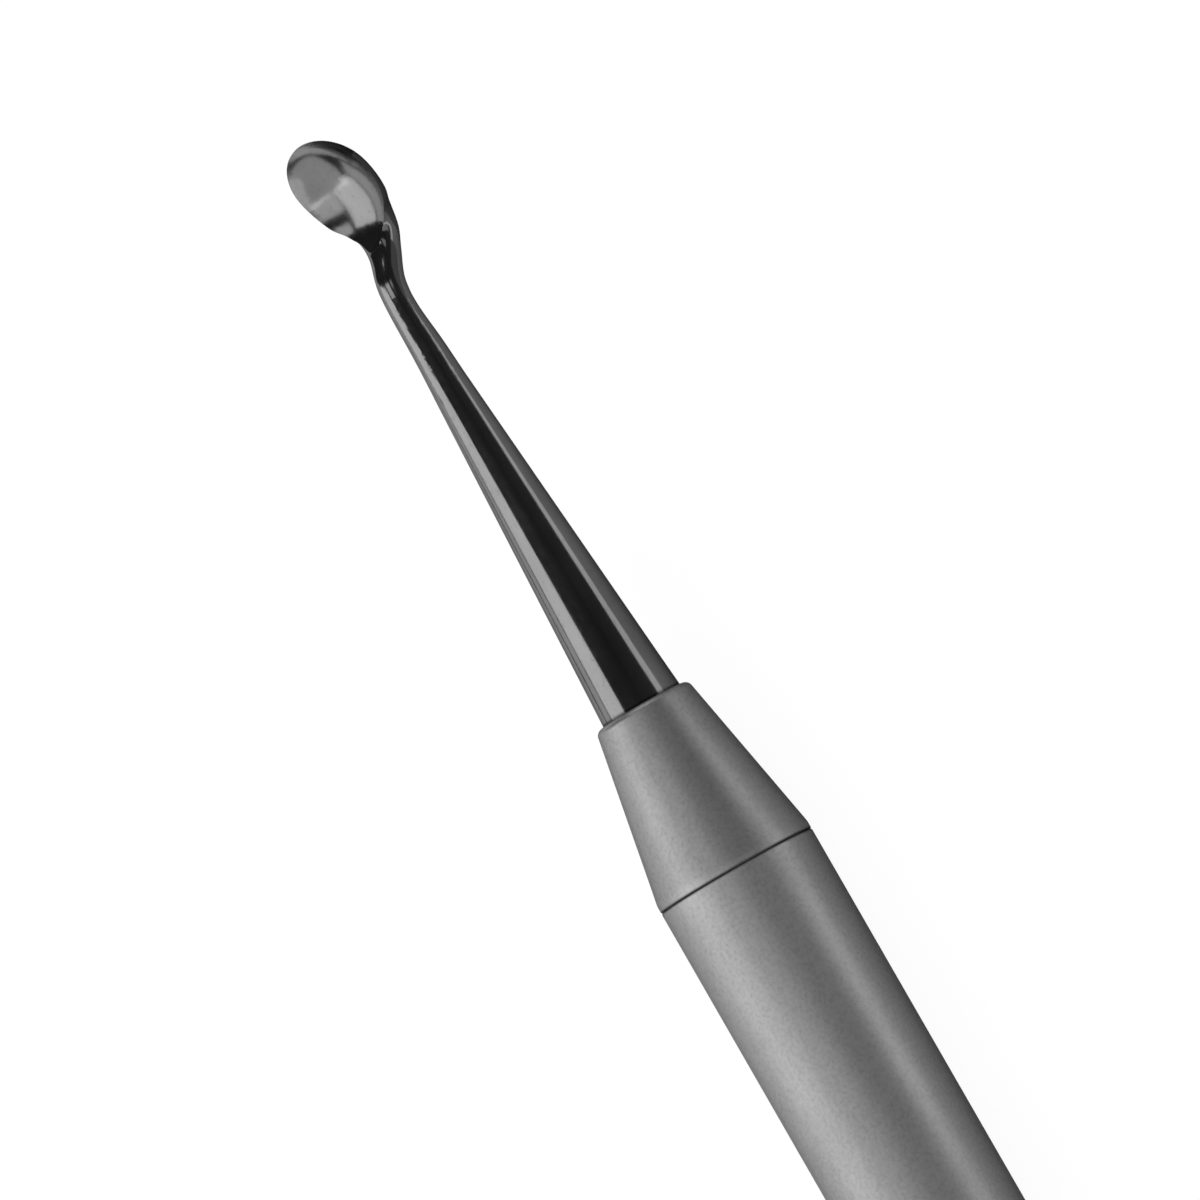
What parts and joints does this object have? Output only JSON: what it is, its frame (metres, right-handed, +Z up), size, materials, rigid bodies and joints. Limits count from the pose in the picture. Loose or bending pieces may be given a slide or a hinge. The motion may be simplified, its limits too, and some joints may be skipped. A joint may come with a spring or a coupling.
{
  "type": "periosteal elevator",
  "caption": "Surgical periosteal elevator: a round satin handle with a cone nose, a tapered polished shank and a small bent spoon blade with a finely serrated edge.",
  "frame": {"origin": "centre of the bounding box in plan, at the level of the surface that the handle lies on", "axes": "+X along the handle towards the blade tip, +Z up, the way the hollow of the blade faces, +Y to the left of the blade seen from the butt"},
  "size_m": [0.17, 0.01, 0.01],
  "materials": {
    "polished_steel": "mirror polished stainless steel",
    "satin_steel": "bead-blasted satin stainless steel"
  },
  "bodies": {
    "root": {"working_end": "polished_steel", "front_cone": "satin_steel", "handle_tube": "satin_steel", "end_cap": "satin_steel"}
  },
  "joints": []
}
